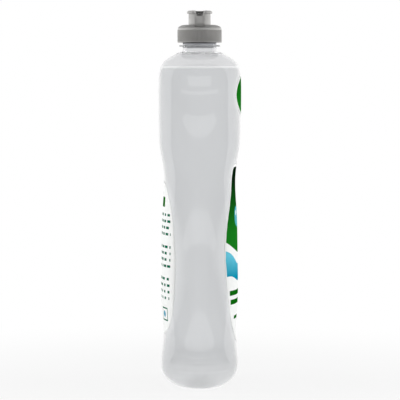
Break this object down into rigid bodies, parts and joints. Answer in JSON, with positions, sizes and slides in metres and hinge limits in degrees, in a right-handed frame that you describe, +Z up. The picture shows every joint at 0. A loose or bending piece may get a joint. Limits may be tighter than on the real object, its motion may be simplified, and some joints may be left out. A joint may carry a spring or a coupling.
{
  "type": "dish soap bottle",
  "caption": "Clear hourglass squeeze bottle of dish soap with film labels on the front and back and a grey push-pull cap.",
  "frame": {"origin": "centre of the base, on the plane that the bottle stands on", "axes": "+Z up along the neck, +X across the width, the front label faces -Y"},
  "size_m": [0.1031, 0.0603, 0.272],
  "materials": {
    "clear_plastic": "clear gloss",
    "soap": "clear liquid",
    "label_front": "printed film",
    "label_oval": "printed film",
    "label_back": "printed film",
    "cap_grey": "satin moulded",
    "spout_grey": "satin moulded"
  },
  "bodies": {
    "bottle_body": {"bottle": "clear_plastic", "soap_fill": "soap", "front_label": "label_front", "shoulder_label": "label_oval", "back_label": "label_back"},
    "closure_body": {"closure": "cap_grey"},
    "spout_body": {"spout": "spout_grey"}
  },
  "joints": [
    {"name": "closure_lift", "type": "slide", "parent": "bottle_body", "child": "closure_body", "axis": [0, 0, 1], "range_m": [0, 0.03]},
    {"name": "spout_pull", "type": "slide", "parent": "closure_body", "child": "spout_body", "axis": [0, 0, 1], "range_m": [0, 0.0045]}
  ]
}
